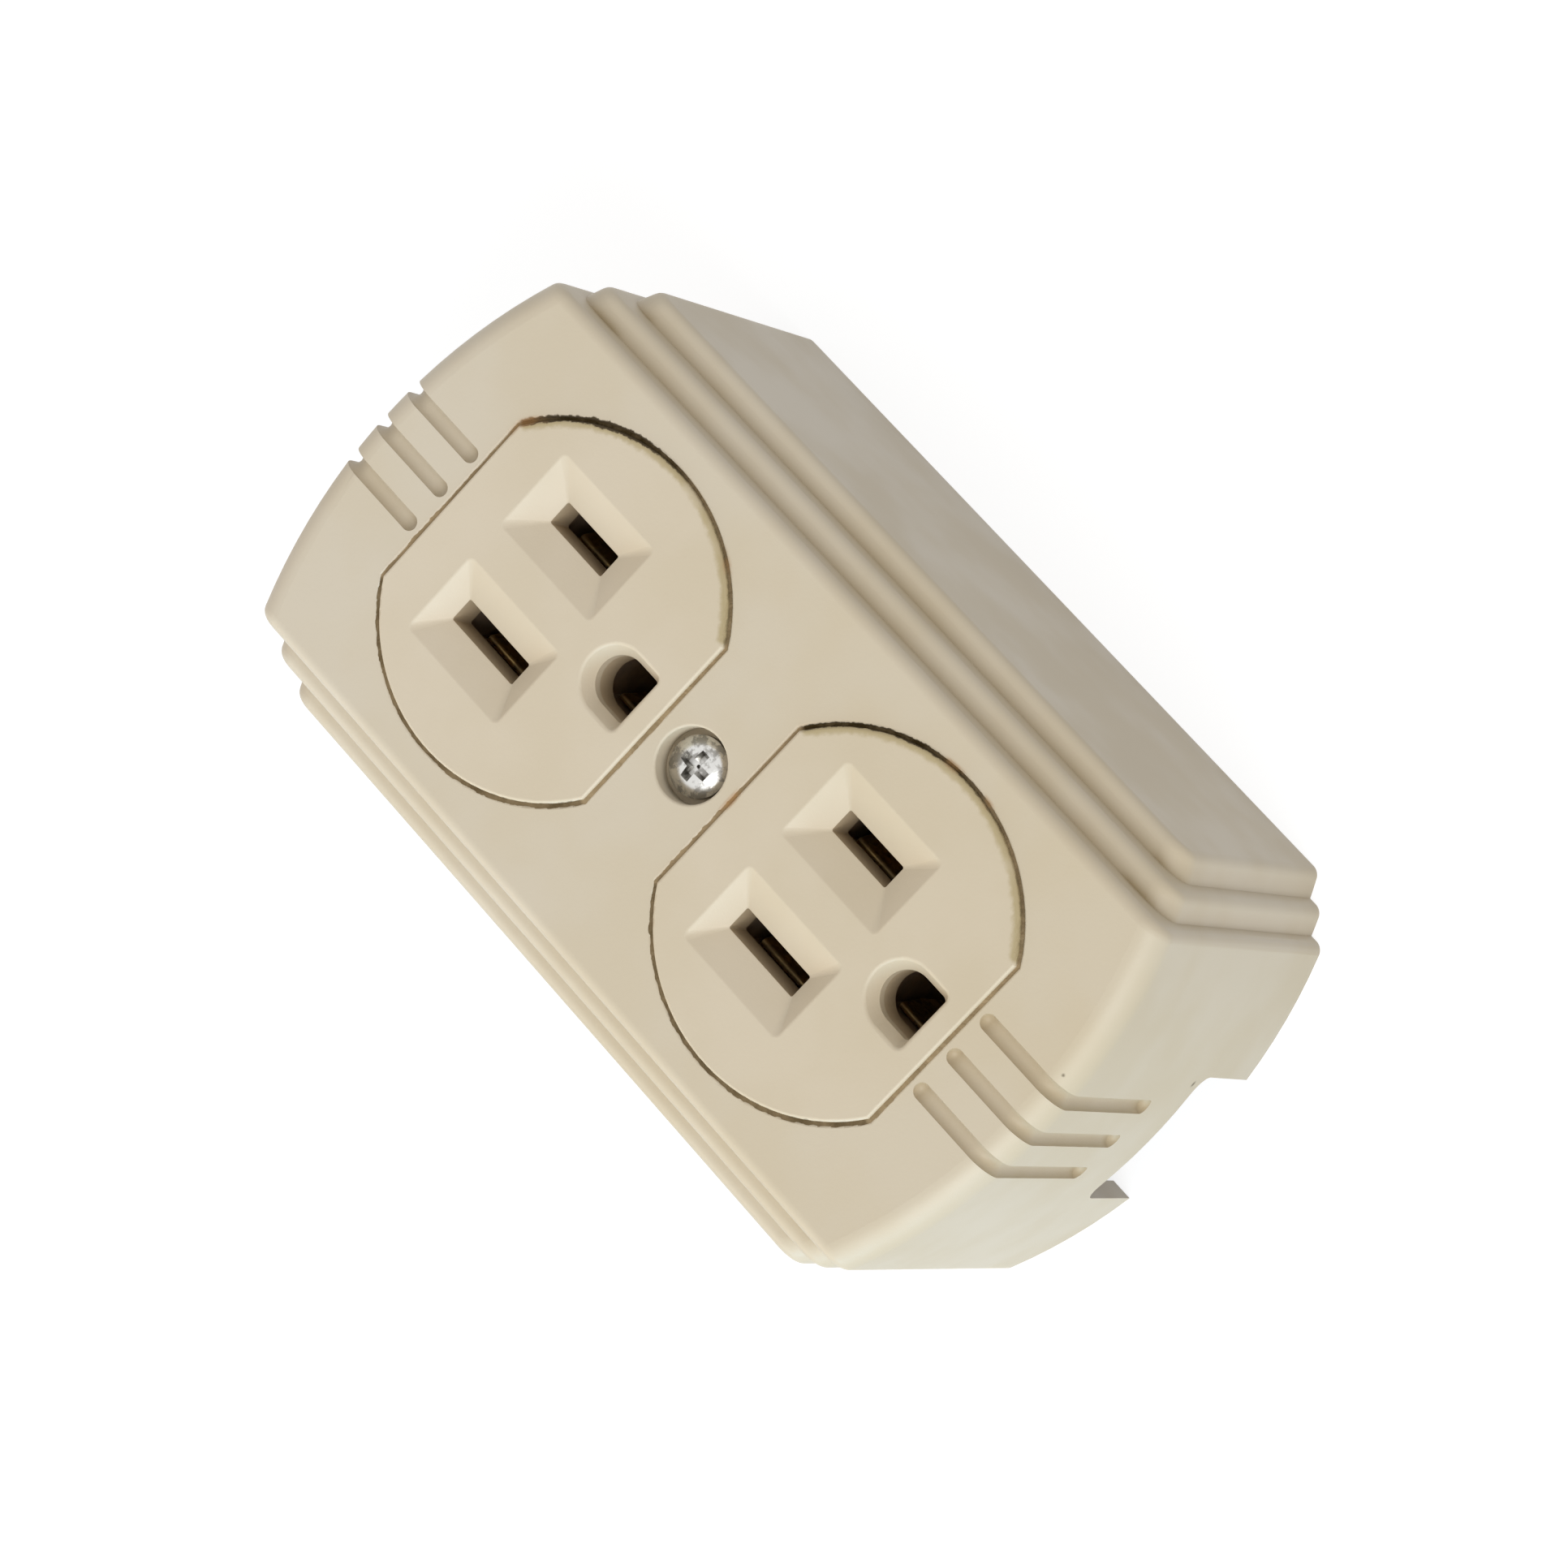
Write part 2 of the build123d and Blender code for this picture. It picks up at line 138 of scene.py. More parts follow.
def colour(label, detail, value):
    """Colour property with a plain default."""
    return FloatVectorProperty(
        name=label, description=detail, default=value, subtype="COLOR", size=3, min=0.0, max=1.0
    )


def length(label, detail, millimetres):
    """Length property whose default is given in millimetres."""
    return FloatProperty(
        name=label, description=detail, default=millimetres * MM, unit="LENGTH", precision=5, min=0.0
    )


def share(label, detail, value):
    """Plain factor property."""
    return FloatProperty(name=label, description=detail, default=value, subtype="FACTOR", min=0.0, max=1.0)


def turn(label, detail, angle):
    """Angle property whose default is given in degrees."""
    return FloatProperty(name=label, description=detail, default=radians(angle), subtype="ANGLE")


class SocketPlastics(bpy.types.PropertyGroup):
    """Colours and surface of the moulded pieces."""

    cover: colour("Cover", "Ivory of the outer moulding", (0.640, 0.562, 0.440))
    faces: colour("Faces", "Slightly yellower ivory of the two raised faces", (0.665, 0.572, 0.436))
    yellowed: colour("Yellowed", "Tone that the ivory has aged to in patches", (0.602, 0.507, 0.358))
    # The grime colour also paints the shade in the grooves and inner corners
    grime_and_shade: colour("Grime_and_shade", "Film in the grooves and inner corners", (0.58, 0.50, 0.34))
    base: colour("Base", "Dark brown of the base", (0.100, 0.066, 0.042))
    housing: colour("Housing", "Mid brown of the contact housing", (0.34, 0.25, 0.17))
    # The soil colour also paints the shadow of the gap, wider and darker at the upper right of the faces
    soil: colour("Soil_and_shade", "Dark dirt packed in the round joints", (0.055, 0.034, 0.010))
    dust: colour("Dust", "Pale dirt in the straight joints", (0.38, 0.28, 0.16))
    # The smear colour paints the shaded side wall of the faces in the wider gap on their right, with dirt on
    # it
    smear_and_shade: colour("Smear_and_shade", "Tan film along the right-hand rim of the faces", (0.42, 0.33, 0.17))
    # The entry and inside colours paint the shade down the plug entries together with their dirt
    entry: colour("Entry", "Brown film on the walls just inside the plug entries", (0.44, 0.33, 0.20))
    inside: colour("Inside", "Dirt on the walls deep in the plug entries", (0.34, 0.25, 0.15))
    rust: colour("Rust", "Orange-brown stain beside the joints", (0.40, 0.22, 0.085))
    face_radius: length("Face radius", "Radius of the round sides of a face", 17.05)
    face_flat: length("Face flat", "Distance from a face's middle to its flat sides", 14.29)
    joint_gap: length("Joint gap", "Gap between a face and the cover", 0.3)
    joint_sink: length("Joint sink", "Extra depth of the dirt in a joint on its right-hand side", 0.22)
    grain: length("Grain", "Size of the fine moulded grain", 0.35)
    patch: length("Patch", "Size of the patches of aged tone", 14.0)
    roughness: share("Roughness", "Roughness of the satin ivory", 0.42)


class SocketMetals(bpy.types.PropertyGroup):
    """Colours of the metal pieces and the form of the screws."""

    nickel: colour("Nickel", "Plating of the cover screw and the neutral terminal screws", (0.74, 0.73, 0.70))
    zinc: colour("Zinc", "Plating of the assembly screws and the nut", (0.52, 0.52, 0.51))
    brass: colour("Brass", "Brass of the contacts and the line terminal screws", (0.62, 0.43, 0.18))
    # The tarnish colour also paints the shade in the crevices of the metal
    tarnish_and_shade: colour("Tarnish_and_shade", "Dull film on the metal in patches", (0.10, 0.085, 0.065))
    green: colour("Green", "Dyed plating of the earth terminal screw", (0.05, 0.24, 0.09))
    thread_depth: length("Thread depth", "Height of a screw thread", 0.32)
    thread_pitch: length("Thread pitch", "Rise of a screw thread in one turn", 0.75)


class SocketStage(bpy.types.PropertyGroup):
    """Camera, lamps and floor."""

    azimuth: turn("Azimuth", "Direction of the camera round the socket", 36.225)
    elevation: turn("Elevation", "Height of the camera above the horizon", 67.319)
    roll: turn("Roll", "Turn of the camera about its own line of sight", -80.84)
    distance: length("Distance", "From the camera to the front of the cover", 421.86)
    aim: FloatVectorProperty(
        name="Aim",
        description="Point of the cover's front in the middle of the picture",
        default=(0.00507, -0.00744, FRONT),
        subtype="TRANSLATION",
        unit="LENGTH",
        size=3,
    )
    lens: FloatProperty(
        name="Lens", description="Focal length for a 36 mm wide sensor", default=111.8, unit="CAMERA", min=1.0
    )
    lamp_distance: length("Lamp distance", "From each lamp to the socket", 2000.0)
    lamp_size: length("Lamp size", "Width of each square lamp", 1300.0)
    key: colour("Key lamp", "Main light, from above the lower end", (0.97, 0.99, 1.0))
    warm: colour("Warm lamp", "Light on the left long side", (1.0, 0.74, 0.46))
    cool: colour("Cool lamp", "Low light on the lower end", (0.42, 0.74, 1.0))
    key_level: share("Key level", "Light of the key lamp, where 1 shows a colour as written", 0.5)
    warm_level: share("Warm level", "Light of the warm lamp, where 1 shows a colour as written", 0.34)
    cool_level: share("Cool level", "Light of the cool lamp, where 1 shows a colour as written", 0.74)
    fill_level: share("Fill level", "Light from all round", 0.65)
    floor_size: length("Floor size", "Width of the floor", 6000.0)
    floor: share("Floor", "Tone of the pale floor", 0.34)
    floor_shade: share("Floor shade", "Share of the floor's white that a shadow can take", 0.3)


class NodeBoard:
    """Adds nodes to one tree and joins them."""

    def __init__(self, tree):
        self.tree = tree

    def add(self, kind, settings=None, **inputs):
        """New node; an input is a value, or another node's output to join to it."""
        node = self.tree.nodes.new(kind)
        for name, value in (settings or {}).items():
            setattr(node, name, value)
        for name, value in inputs.items():
            self.set(node.inputs[name], value)
        return node

    def set(self, socket, value):
        """Join an output to the socket, or give the socket a value."""
        if isinstance(value, bpy.types.NodeSocket):
            self.tree.links.new(value, socket)
        else:
            socket.default_value = value

    def math(self, operation, *values):
        """Output of one arithmetic node."""
        node = self.add("ShaderNodeMath", {"operation": operation})
        for socket, value in zip(node.inputs, values):
            self.set(socket, value)
        return node.outputs[0]

    def ramp(self, value, low, high, to_low=0.0, to_high=1.0):
        """Output that goes smoothly between two levels as the value goes from low to high."""
        node = self.add("ShaderNodeMapRange", {"interpolation_type": "SMOOTHSTEP"}, Value=value)
        for name, level in (("From Min", low), ("From Max", high), ("To Min", to_low), ("To Max", to_high)):
            self.set(node.inputs[name], level)
        return node.outputs[0]

    def noise(self, vector, scale, detail, roughness=0.5):
        """Soft noise of a given scale."""
        node = self.add("ShaderNodeTexNoise", None, Vector=vector, Scale=scale)
        node.inputs["Detail"].default_value = detail
        node.inputs["Roughness"].default_value = roughness
        return node.outputs[0]

    def mix(self, factor, first, second, blend="MIX"):
        """Blend of two colours."""
        node = self.add("ShaderNodeMix", {"data_type": "RGBA", "blend_type": blend})
        # A Mix node has sockets for each type of data, and its colours are inputs 6 and 7 and output 2
        for number, value in ((0, factor), (6, first), (7, second)):
            self.set(node.inputs[number], value)
        return node.outputs[2]

    def bump(self, height, distance):
        """Normal raised by a height."""
        node = self.add("ShaderNodeBump", None, Height=height, Distance=distance, Strength=1.0)
        return node.outputs[0]

    def openness(self, reach, own_piece):
        """How open a point is, from 0 to 1, where its own piece or any piece within reach closes it."""
        settings = {"samples": 8, "only_local": own_piece}
        return self.add("ShaderNodeAmbientOcclusion", settings, Distance=reach).outputs["AO"]


def rgba(values):
    """Opaque colour from three numbers."""
    return (*values, 1.0)


def group_board(name, inputs, outputs):
    """New shader group with number and vector inputs and number outputs; returns its board and ends."""
    group = bpy.data.node_groups.new(name, "ShaderNodeTree")
    for label, kind in inputs.items():
        group.interface.new_socket(name=label, in_out="INPUT", socket_type=kind)
    for label in outputs:
        group.interface.new_socket(name=label, in_out="OUTPUT", socket_type="NodeSocketFloat")
    board = NodeBoard(group)
    return board, board.add("NodeGroupInput").outputs, board.add("NodeGroupOutput").inputs


def place_group(board, name, vector, **inputs):
    """Copy of a shader group in a material, fed with coordinates; returns its outputs."""
    node = board.add("ShaderNodeGroup", {"node_tree": bpy.data.node_groups[name]}, Vector=vector, **inputs)
    return node.outputs


def make_moulded_skin():
    """Group: fine grain and slow waviness of a moulded surface, and patches of aged tone."""
    inputs = {"Vector": "NodeSocketVector", "Grain": "NodeSocketFloat", "Patch": "NodeSocketFloat"}
    board, given, made = group_board("Moulded skin", inputs, ("Height", "Aged"))
    grain_scale = board.math("DIVIDE", 1.0, given["Grain"])
    patch_scale = board.math("DIVIDE", 1.0, given["Patch"])
    wave_scale = board.math("MULTIPLY", patch_scale, 3.0)
    fine = board.noise(given["Vector"], grain_scale, detail=4.0, roughness=0.6)
    wavy = board.noise(given["Vector"], wave_scale, detail=2.0)
    aged = board.noise(given["Vector"], patch_scale, detail=3.0, roughness=0.55)
    board.set(made["Height"], board.math("MULTIPLY_ADD", wavy, 2.0, fine))
    board.set(made["Aged"], board.ramp(aged, 0.35, 0.65))


def make_joint_soil_and_shade():
    """Group: dirt at the joint round either face with painted shadow of the gap, a tan band with painted
    shade along the rim, its darkness and the closeness to it.
    """
    lengths = ("Pitch", "Radius", "Flat", "Gap")
    inputs = {"Vector": "NodeSocketVector"} | {label: "NodeSocketFloat" for label in lengths}
    board, given, made = group_board("Joint soil", inputs, ("Soil_and_shade", "Smear_and_shade", "Near", "Dark"))
    uneven = board.noise(given["Vector"], RAGGED_EDGE, detail=3.0, roughness=0.6)
    slow = board.noise(given["Vector"], SLOW_CHANGE, detail=2.0)

    # Place on the nearer face: upwards from its middle, and towards its right-hand side
    place = board.add("ShaderNodeSeparateXYZ", None, Vector=given["Vector"]).outputs
    along = board.math("SUBTRACT", board.math("ABSOLUTE", place["Y"]), given["Pitch"])
    upward = board.math("MULTIPLY", along, board.math("SIGN", place["Y"]))
    upper_start = board.math("MULTIPLY", given["Flat"], 0.4)
    lower_end = board.math("MULTIPLY", given["Flat"], -0.5)
    right = board.ramp(place["X"], board.math("MULTIPLY", given["Radius"], -1.0), given["Radius"])
    far_right = board.ramp(place["X"], 0.0, board.math("MULTIPLY", given["Radius"], 0.6))

    # Distance outside the face's outline and from the middle of its joint, and its round stretches
    flat = board.math("ABSOLUTE", along)
    squares = board.math("ADD", board.math("POWER", place["X"], 2.0), board.math("POWER", flat, 2.0))
    round_part = board.math("SUBTRACT", board.math("SQRT", squares), given["Radius"])
    flat_part = board.math("SUBTRACT", flat, given["Flat"])
    outside = board.math("MAXIMUM", round_part, flat_part)
    from_joint = board.math("ABSOLUTE", board.math("MULTIPLY_ADD", given["Gap"], -0.5, outside))
    arc_share = board.ramp(board.math("SUBTRACT", round_part, flat_part), 0.0, given["Gap"])

    # The dark band is widest at the upper right of a face, most of all on the upper face: dirt, widened there
    # as painted shadow of the gap
    upper = board.ramp(upward, 0.0, upper_start)
    upper = board.math("MULTIPLY", upper, board.ramp(place["Y"], 0.0, given["Pitch"], 0.35, 1.0))
    thick = board.math("MULTIPLY_ADD", board.math("MULTIPLY", upper, far_right), 1.3, 1.3)
    reach = board.math("MULTIPLY", board.math("MULTIPLY_ADD", slow, 1.6, 0.2), uneven)
    reach = board.math("MULTIPLY", board.math("MULTIPLY", reach, given["Gap"]), thick)
    dirt = board.ramp(from_joint, board.math("MULTIPLY", reach, 0.65), reach, 1.0, 0.0)

    # It is dark on the round stretches, darker towards the right as painted shadow of the gap, and paler down
    # their right-hand side
    dark = board.math("MULTIPLY", arc_share, board.math("MULTIPLY_ADD", right, 0.4, 0.6))
    lower = board.ramp(upward, lower_end, upper_start, 0.6, 0.0)
    kept = board.math("SUBTRACT", 1.0, board.math("MULTIPLY", lower, far_right))
    dark = board.math("MULTIPLY", dark, kept)
    board.set(made["Dark"], dark)
    board.set(made["Soil_and_shade"], board.math("MULTIPLY", dirt, dark))

    # A tan band along the right-hand rim of the face: painted shade of the face's side wall in the wider gap
    # there, with dirt on it
    widest = board.math("MULTIPLY", given["Gap"], board.math("MULTIPLY_ADD", uneven, -3.0, -1.5))
    band = board.ramp(outside, widest, board.math("MULTIPLY", widest, 0.35))
    band = board.math("MULTIPLY", band, board.math("LESS_THAN", outside, given["Gap"]))
    smear_and_shade = board.math("MULTIPLY", board.math("MULTIPLY", band, far_right), arc_share)
    board.set(made["Smear_and_shade"], board.math("MULTIPLY", smear_and_shade, board.ramp(slow, 0.2, 0.5)))

    close = board.math("MULTIPLY", given["Gap"], 0.6)
    beyond = board.math("MULTIPLY", given["Gap"], 2.0)
    board.set(made["Near"], board.ramp(from_joint, close, beyond, 1.0, 0.0))


def make_metal_wear():
    """Group: dull film, fine scratches and uneven polish of a used metal surface."""
    inputs = {"Vector": "NodeSocketVector", "Spot": "NodeSocketFloat"}
    board, given, made = group_board("Metal wear", inputs, ("Film", "Polish", "Height"))
    scale = board.math("DIVIDE", 1.0, given["Spot"])
    scratch_scale = board.math("MULTIPLY", scale, 6.0)
    stretched = board.add("ShaderNodeMapping", None, Vector=given["Vector"], Scale=(1.0, 7.0, 1.0)).outputs[0]
    film = board.noise(given["Vector"], scale, detail=5.0, roughness=0.6)
    scratch = board.noise(stretched, scratch_scale, detail=3.0, roughness=0.7)
    board.set(made["Film"], board.ramp(film, 0.47, 0.58))
    board.set(made["Polish"], board.ramp(scratch, 0.4, 0.75))
    board.set(made["Height"], scratch)


def new_material(name):
    """Empty node material with its board, shader and object coordinates."""
    material = bpy.data.materials.new(name)
    material.use_nodes = True
    board = NodeBoard(material.node_tree)
    shader = material.node_tree.nodes["Principled BSDF"]
    vector = board.add("ShaderNodeTexCoord").outputs["Object"]
    return material, board, shader, vector


def spots(board, vector, rows):
    """Mask of ragged spots, each given by its place and radius in millimetres."""
    ragged = board.noise(vector, RAGGED_SPOT, detail=3.0)
    mask = 0.0
    for *place, radius in rows:
        size = radius * MM
        apart = board.add("ShaderNodeVectorMath", {"operation": "DISTANCE"})
        board.set(apart.inputs[0], vector)
        board.set(apart.inputs[1], Vector(place) * MM)
        uneven = board.math("MULTIPLY_ADD", ragged, 1.2 * size, apart.outputs["Value"])
        mask = board.math("MAXIMUM", board.ramp(uneven, 0.7 * size, 1.6 * size, 1.0, 0.0), mask)
    return mask


def joint_soil_and_shade(board, vector):
    """The shader group for the joints, set to the sizes of the faces."""
    looks = bpy.context.scene.socket_plastics
    return place_group(
        board, "Joint soil", vector, Pitch=PLACES["upper_plug_entry"].y,
        Radius=looks.face_radius, Flat=looks.face_flat, Gap=looks.joint_gap,
    )


def aged_tint(board, place, patches, tone):
    """Ivory that has yellowed in patches, and more towards the lower end and the right-hand side."""
    looks = bpy.context.scene.socket_plastics
    along = board.ramp(place["Y"], AGED_ALONG, -AGED_ALONG, 0.0, 0.5)
    across = board.ramp(place["X"], *AGED_ACROSS, 0.0, 0.2)
    aged = board.math("ADD", board.math("MULTIPLY_ADD", patches, 0.4, along), across)
    return board.mix(aged, rgba(tone), rgba(looks.yellowed))


def shaded_grimy_tint(board, place, tint, crevice_limit):
    """Painted shade with grime over a tint in the inner corners, darker where a point is less open, thickest
    at the grooved ends.
    """
    looks = bpy.context.scene.socket_plastics
    ends = board.ramp(board.math("ABSOLUTE", place["Y"]), *GROOVED_ENDS, 0.4, 1.0)
    # Painted shade: the less open a point is within reach, the more the tint darkens towards the grime colour
    hollow_shade = board.ramp(board.openness(PLASTIC_CREVICE, True), 0.35, crevice_limit, 1.0, 0.0)
    return board.mix(board.math("MULTIPLY", hollow_shade, ends), tint, rgba(looks.grime_and_shade), "MULTIPLY")


def entry_tint(board, place, tint, floor):
    """Painted shade with dirt over a tint on the walls of the plug entries, below the floor of their mouths,
    darker further down.
    """
    looks = bpy.context.scene.socket_plastics
    drop = board.ramp(board.math("ABSOLUTE", place["X"]), *EARTH_EDGE, EARTH_DROP, 0.0)
    height = board.math("ADD", place["Z"], drop)
    # Painted shade with dirt: the walls darken below the floor of the mouth, and more further down
    lip = board.ramp(height, floor - LIP_BELOW, floor + LIP_ABOVE, 0.65, 0.0)
    inside = board.ramp(height, floor - ENTRY_RUN, floor, 0.6, 0.0)
    tint = board.mix(lip, tint, rgba(looks.entry))
    return board.mix(inside, tint, rgba(looks.inside))


def joint_tint(board, vector, tint):
    """Tan band, dirt, specks and stains over a tint at the joints, with painted shade in the band and painted
    shadow of the gap in the dirt; returns the mask of the dirt as well.
    """
    looks = bpy.context.scene.socket_plastics
    joint = joint_soil_and_shade(board, vector)
    specks = board.math("MULTIPLY", spots(board, vector, SPECKS), 0.7)
    dirt = board.math("MAXIMUM", joint["Soil_and_shade"], specks)
    rust = board.math("MULTIPLY", spots(board, vector, STAINS), joint["Near"])
    # Painted shade of the face's side wall along the right-hand rim of the faces
    tint = board.mix(board.math("MULTIPLY", joint["Smear_and_shade"], 0.9), tint, rgba(looks.smear_and_shade))
    tint = board.mix(dirt, tint, rgba(looks.soil))
    tint = board.mix(board.math("MULTIPLY", rust, 0.7), tint, rgba(looks.rust))
    return tint, dirt


def ivory_plastic(name, tone, entry_depth, crevice_limit):
    """Aged satin ivory with painted shade and grime in its crevices, stained at the joints with painted shade
    at the gaps, and darker below a depth with painted shade and dirt.
    """
    looks = bpy.context.scene.socket_plastics
    material, board, shader, vector = new_material(name)
    skin = place_group(board, "Moulded skin", vector, Grain=looks.grain, Patch=looks.patch)
    place = board.add("ShaderNodeSeparateXYZ", None, Vector=vector).outputs
    tint = aged_tint(board, place, skin["Aged"], tone)
    tint = shaded_grimy_tint(board, place, tint, crevice_limit)
    tint = entry_tint(board, place, tint, FRONT - entry_depth)
    tint, dirt = joint_tint(board, vector, tint)
    board.set(shader.inputs["Base Color"], tint)
    rough = board.math("MULTIPLY_ADD", skin["Aged"], 0.08, looks.roughness)
    board.set(shader.inputs["Roughness"], board.math("MULTIPLY_ADD", dirt, 0.35, rough))
    board.set(shader.inputs["Normal"], board.bump(skin["Height"], IVORY_RELIEF))
    return material


def joint_dirt(name):
    """Matt dirt that fills the joints, dark on the round stretches and pale on the straight ones, darker
    towards the right as painted shadow of the gap.
    """
    looks = bpy.context.scene.socket_plastics
    material, board, shader, vector = new_material(name)
    joint = joint_soil_and_shade(board, vector)
    blotch = board.ramp(board.noise(vector, BLOTCH, detail=4.0, roughness=0.65), 0.35, 0.68)
    # Painted shadow of the gap: the Dark mask darkens the dirt towards the right
    dark = board.math("MULTIPLY_ADD", blotch, 0.3, board.math("MULTIPLY", joint["Dark"], 0.8))
    tint = board.mix(dark, rgba(looks.dust), rgba(looks.soil))
    rust = board.math("MULTIPLY", spots(board, vector, STAINS), 0.7)
    tint = board.mix(rust, tint, rgba(looks.rust))
    board.set(shader.inputs["Base Color"], tint)
    shader.inputs["Roughness"].default_value = 0.85
    shader.inputs["Specular IOR Level"].default_value = 0.1
    board.set(shader.inputs["Normal"], board.bump(blotch, DIRT_RELIEF))
    return material


def works_plastic(name, tone):
    """Brown thermoset with a faint mottle."""
    looks = bpy.context.scene.socket_plastics
    material, board, shader, vector = new_material(name)
    skin = place_group(board, "Moulded skin", vector, Grain=looks.grain, Patch=looks.patch * 0.4)
    lighter = [level * 1.5 for level in tone]
    board.set(shader.inputs["Base Color"], board.mix(skin["Aged"], rgba(tone), rgba(lighter)))
    board.set(shader.inputs["Roughness"], board.math("MULTIPLY_ADD", skin["Aged"], 0.12, 0.4))
    board.set(shader.inputs["Normal"], board.bump(skin["Height"], WORKS_RELIEF))
    return material


def used_metal(name, tone, roughness, film_share, spot, crevice_shade_share=1.0):
    """Metal with a patchy dull film, painted shade in the tarnish colour in its crevices, and fine scratches.
    """
    looks = bpy.context.scene.socket_metals
    material, board, shader, vector = new_material(name)
    wear = place_group(board, "Metal wear", vector, Spot=spot)
    # Painted shade: crevices darken towards the tarnish colour, by the share given for each finish
    crevice_shade = board.ramp(board.openness(METAL_CREVICE, False), 0.2, 0.65, crevice_shade_share, 0.0)
    film = board.math("MAXIMUM", board.math("MULTIPLY", wear["Film"], film_share), crevice_shade)
    board.set(shader.inputs["Base Color"], board.mix(film, rgba(tone), rgba(looks.tarnish_and_shade)))
    shader.inputs["Metallic"].default_value = 1.0
    rough = board.math("MULTIPLY_ADD", wear["Polish"], 0.14, roughness)
    board.set(shader.inputs["Roughness"], board.math("MULTIPLY_ADD", film, 0.3, rough))
    board.set(shader.inputs["Normal"], board.bump(wear["Height"], METAL_RELIEF))
    return material


def dress(nodes, material):
    """Give a finish to pieces that keep their own shape."""
    for node in nodes:
        NODES[node].data.materials.clear()
        NODES[node].data.materials.append(material)


def add_piece(name, shape, material, node=None):
    """Object from a finished bmesh, which may stand for one node of the socket."""
    mesh = bpy.data.meshes.new(name)
    shape.to_mesh(mesh)
    shape.free()
    piece = bpy.data.objects.new(name, mesh)
    bpy.context.scene.collection.objects.link(piece)
    mesh.materials.append(material)
    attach(piece, "root")
    if node:
        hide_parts(node)
    return piece


def arc(centre, radius, start, end, count):
    """Points of an arc in the plane of a turned profile, with angles in degrees."""
    turns = [radians(start + (end - start) * step / count) for step in range(count + 1)]
    return [(centre[0] + radius * cos(a), centre[1] + radius * sin(a)) for a in turns]


def turned(profile, steps):
    """Solid of revolution about Z from an outline of radius and height."""
    shape = bmesh.new()
    corners = [shape.verts.new((radius, 0.0, height)) for radius, height in profile]
    edges = [shape.edges.new(pair) for pair in zip(corners, corners[1:])]
    bmesh.ops.spin(
        shape, geom=corners + edges, cent=(0, 0, 0), axis=UP, dvec=(0, 0, 0),
        angle=2 * pi, steps=steps, use_merge=True,
    )
    bmesh.ops.remove_doubles(shape, verts=shape.verts, dist=MERGED)
    bmesh.ops.recalc_face_normals(shape, faces=shape.faces)
    return shape


def pan_top(radius, height):
    """Nearly flat top of a head with a rounded edge, from the axis to the rim."""
    edge = 0.36 * height
    dome = 0.06 * height
    middle = [(0.0, height), (0.5 * (radius - edge), height - 0.3 * dome)]
    return middle + arc((radius - edge, height - edge - dome), edge, 70, 0, 6)


def domed_top(radius, height, rim):
    """Round top of a head above an upright rim, from the axis to the rim."""
    rise = height - rim
    bow = radius**2 / (2 * rise) + rise / 2
    return arc((0.0, height - bow), bow, 90, 90 - degrees(asin(radius / bow)), 12)


def screw_profile(top, head_radius, core, reach):
    """Outline of a screw with its head's underside at height 0 and its tip at -reach."""
    tip = 0.6 * core
    return top + [(head_radius, 0.0), (core, 0.0), (core, tip - reach), (core - tip, -reach), (0.0, -reach)]


def add_thread(shape, crest, depth, pitch, low, high):
    """Wind a ridge round a shank between two heights."""
    turns = int((high - low) / pitch)
    root = crest - 1.3 * depth
    foot = 0.45 * pitch
    land = 0.08 * pitch
    corners = [(root, -foot), (crest, -land), (crest, land), (root, foot)]
    ring = [shape.verts.new((radius, 0.0, low + rise)) for radius, rise in corners]
    face = shape.faces.new(ring)
    bmesh.ops.spin(
        shape, geom=[face, *face.edges, *ring], cent=(0, 0, 0), axis=UP, dvec=(0, 0, pitch / THREAD_STEPS),
        angle=2 * pi * turns, steps=THREAD_STEPS * turns,
    )


def wedge(across, along, depth, narrowing):
    """Tapered block below height 0, for cutting a driver recess."""
    shape = bmesh.new()
    cube = bmesh.ops.create_cube(shape, size=1.0)["verts"]
    bmesh.ops.scale(shape, vec=(along, across, 2 * depth), verts=cube)
    bottom = [vert for vert in cube if vert.co.z < 0]
    bmesh.ops.scale(shape, vec=(narrowing, narrowing, 1.0), verts=bottom)
    return shape


def recess_cutters(kind, radius, depth):
    """Blocks that cut a cross or a slot into a head whose top is at height 0."""
    if kind == "slot":
        return [wedge(across=0.32 * radius, along=4 * radius, depth=depth, narrowing=1.0)]
    cross = []
    for angle in (0.0, pi / 2):
        wing = wedge(across=0.47 * radius, along=1.62 * radius, depth=depth, narrowing=0.45)
        bmesh.ops.rotate(wing, cent=(0, 0, 0), matrix=Matrix.Rotation(angle, 3, "Z"), verts=wing.verts)
        cross.append(wing)
    cone = bmesh.new()
    bmesh.ops.create_cone(
        cone, cap_ends=True, segments=24, radius1=0.02 * radius, radius2=0.45 * radius, depth=2.5 * depth
    )
    cross.append(cone)
    return cross


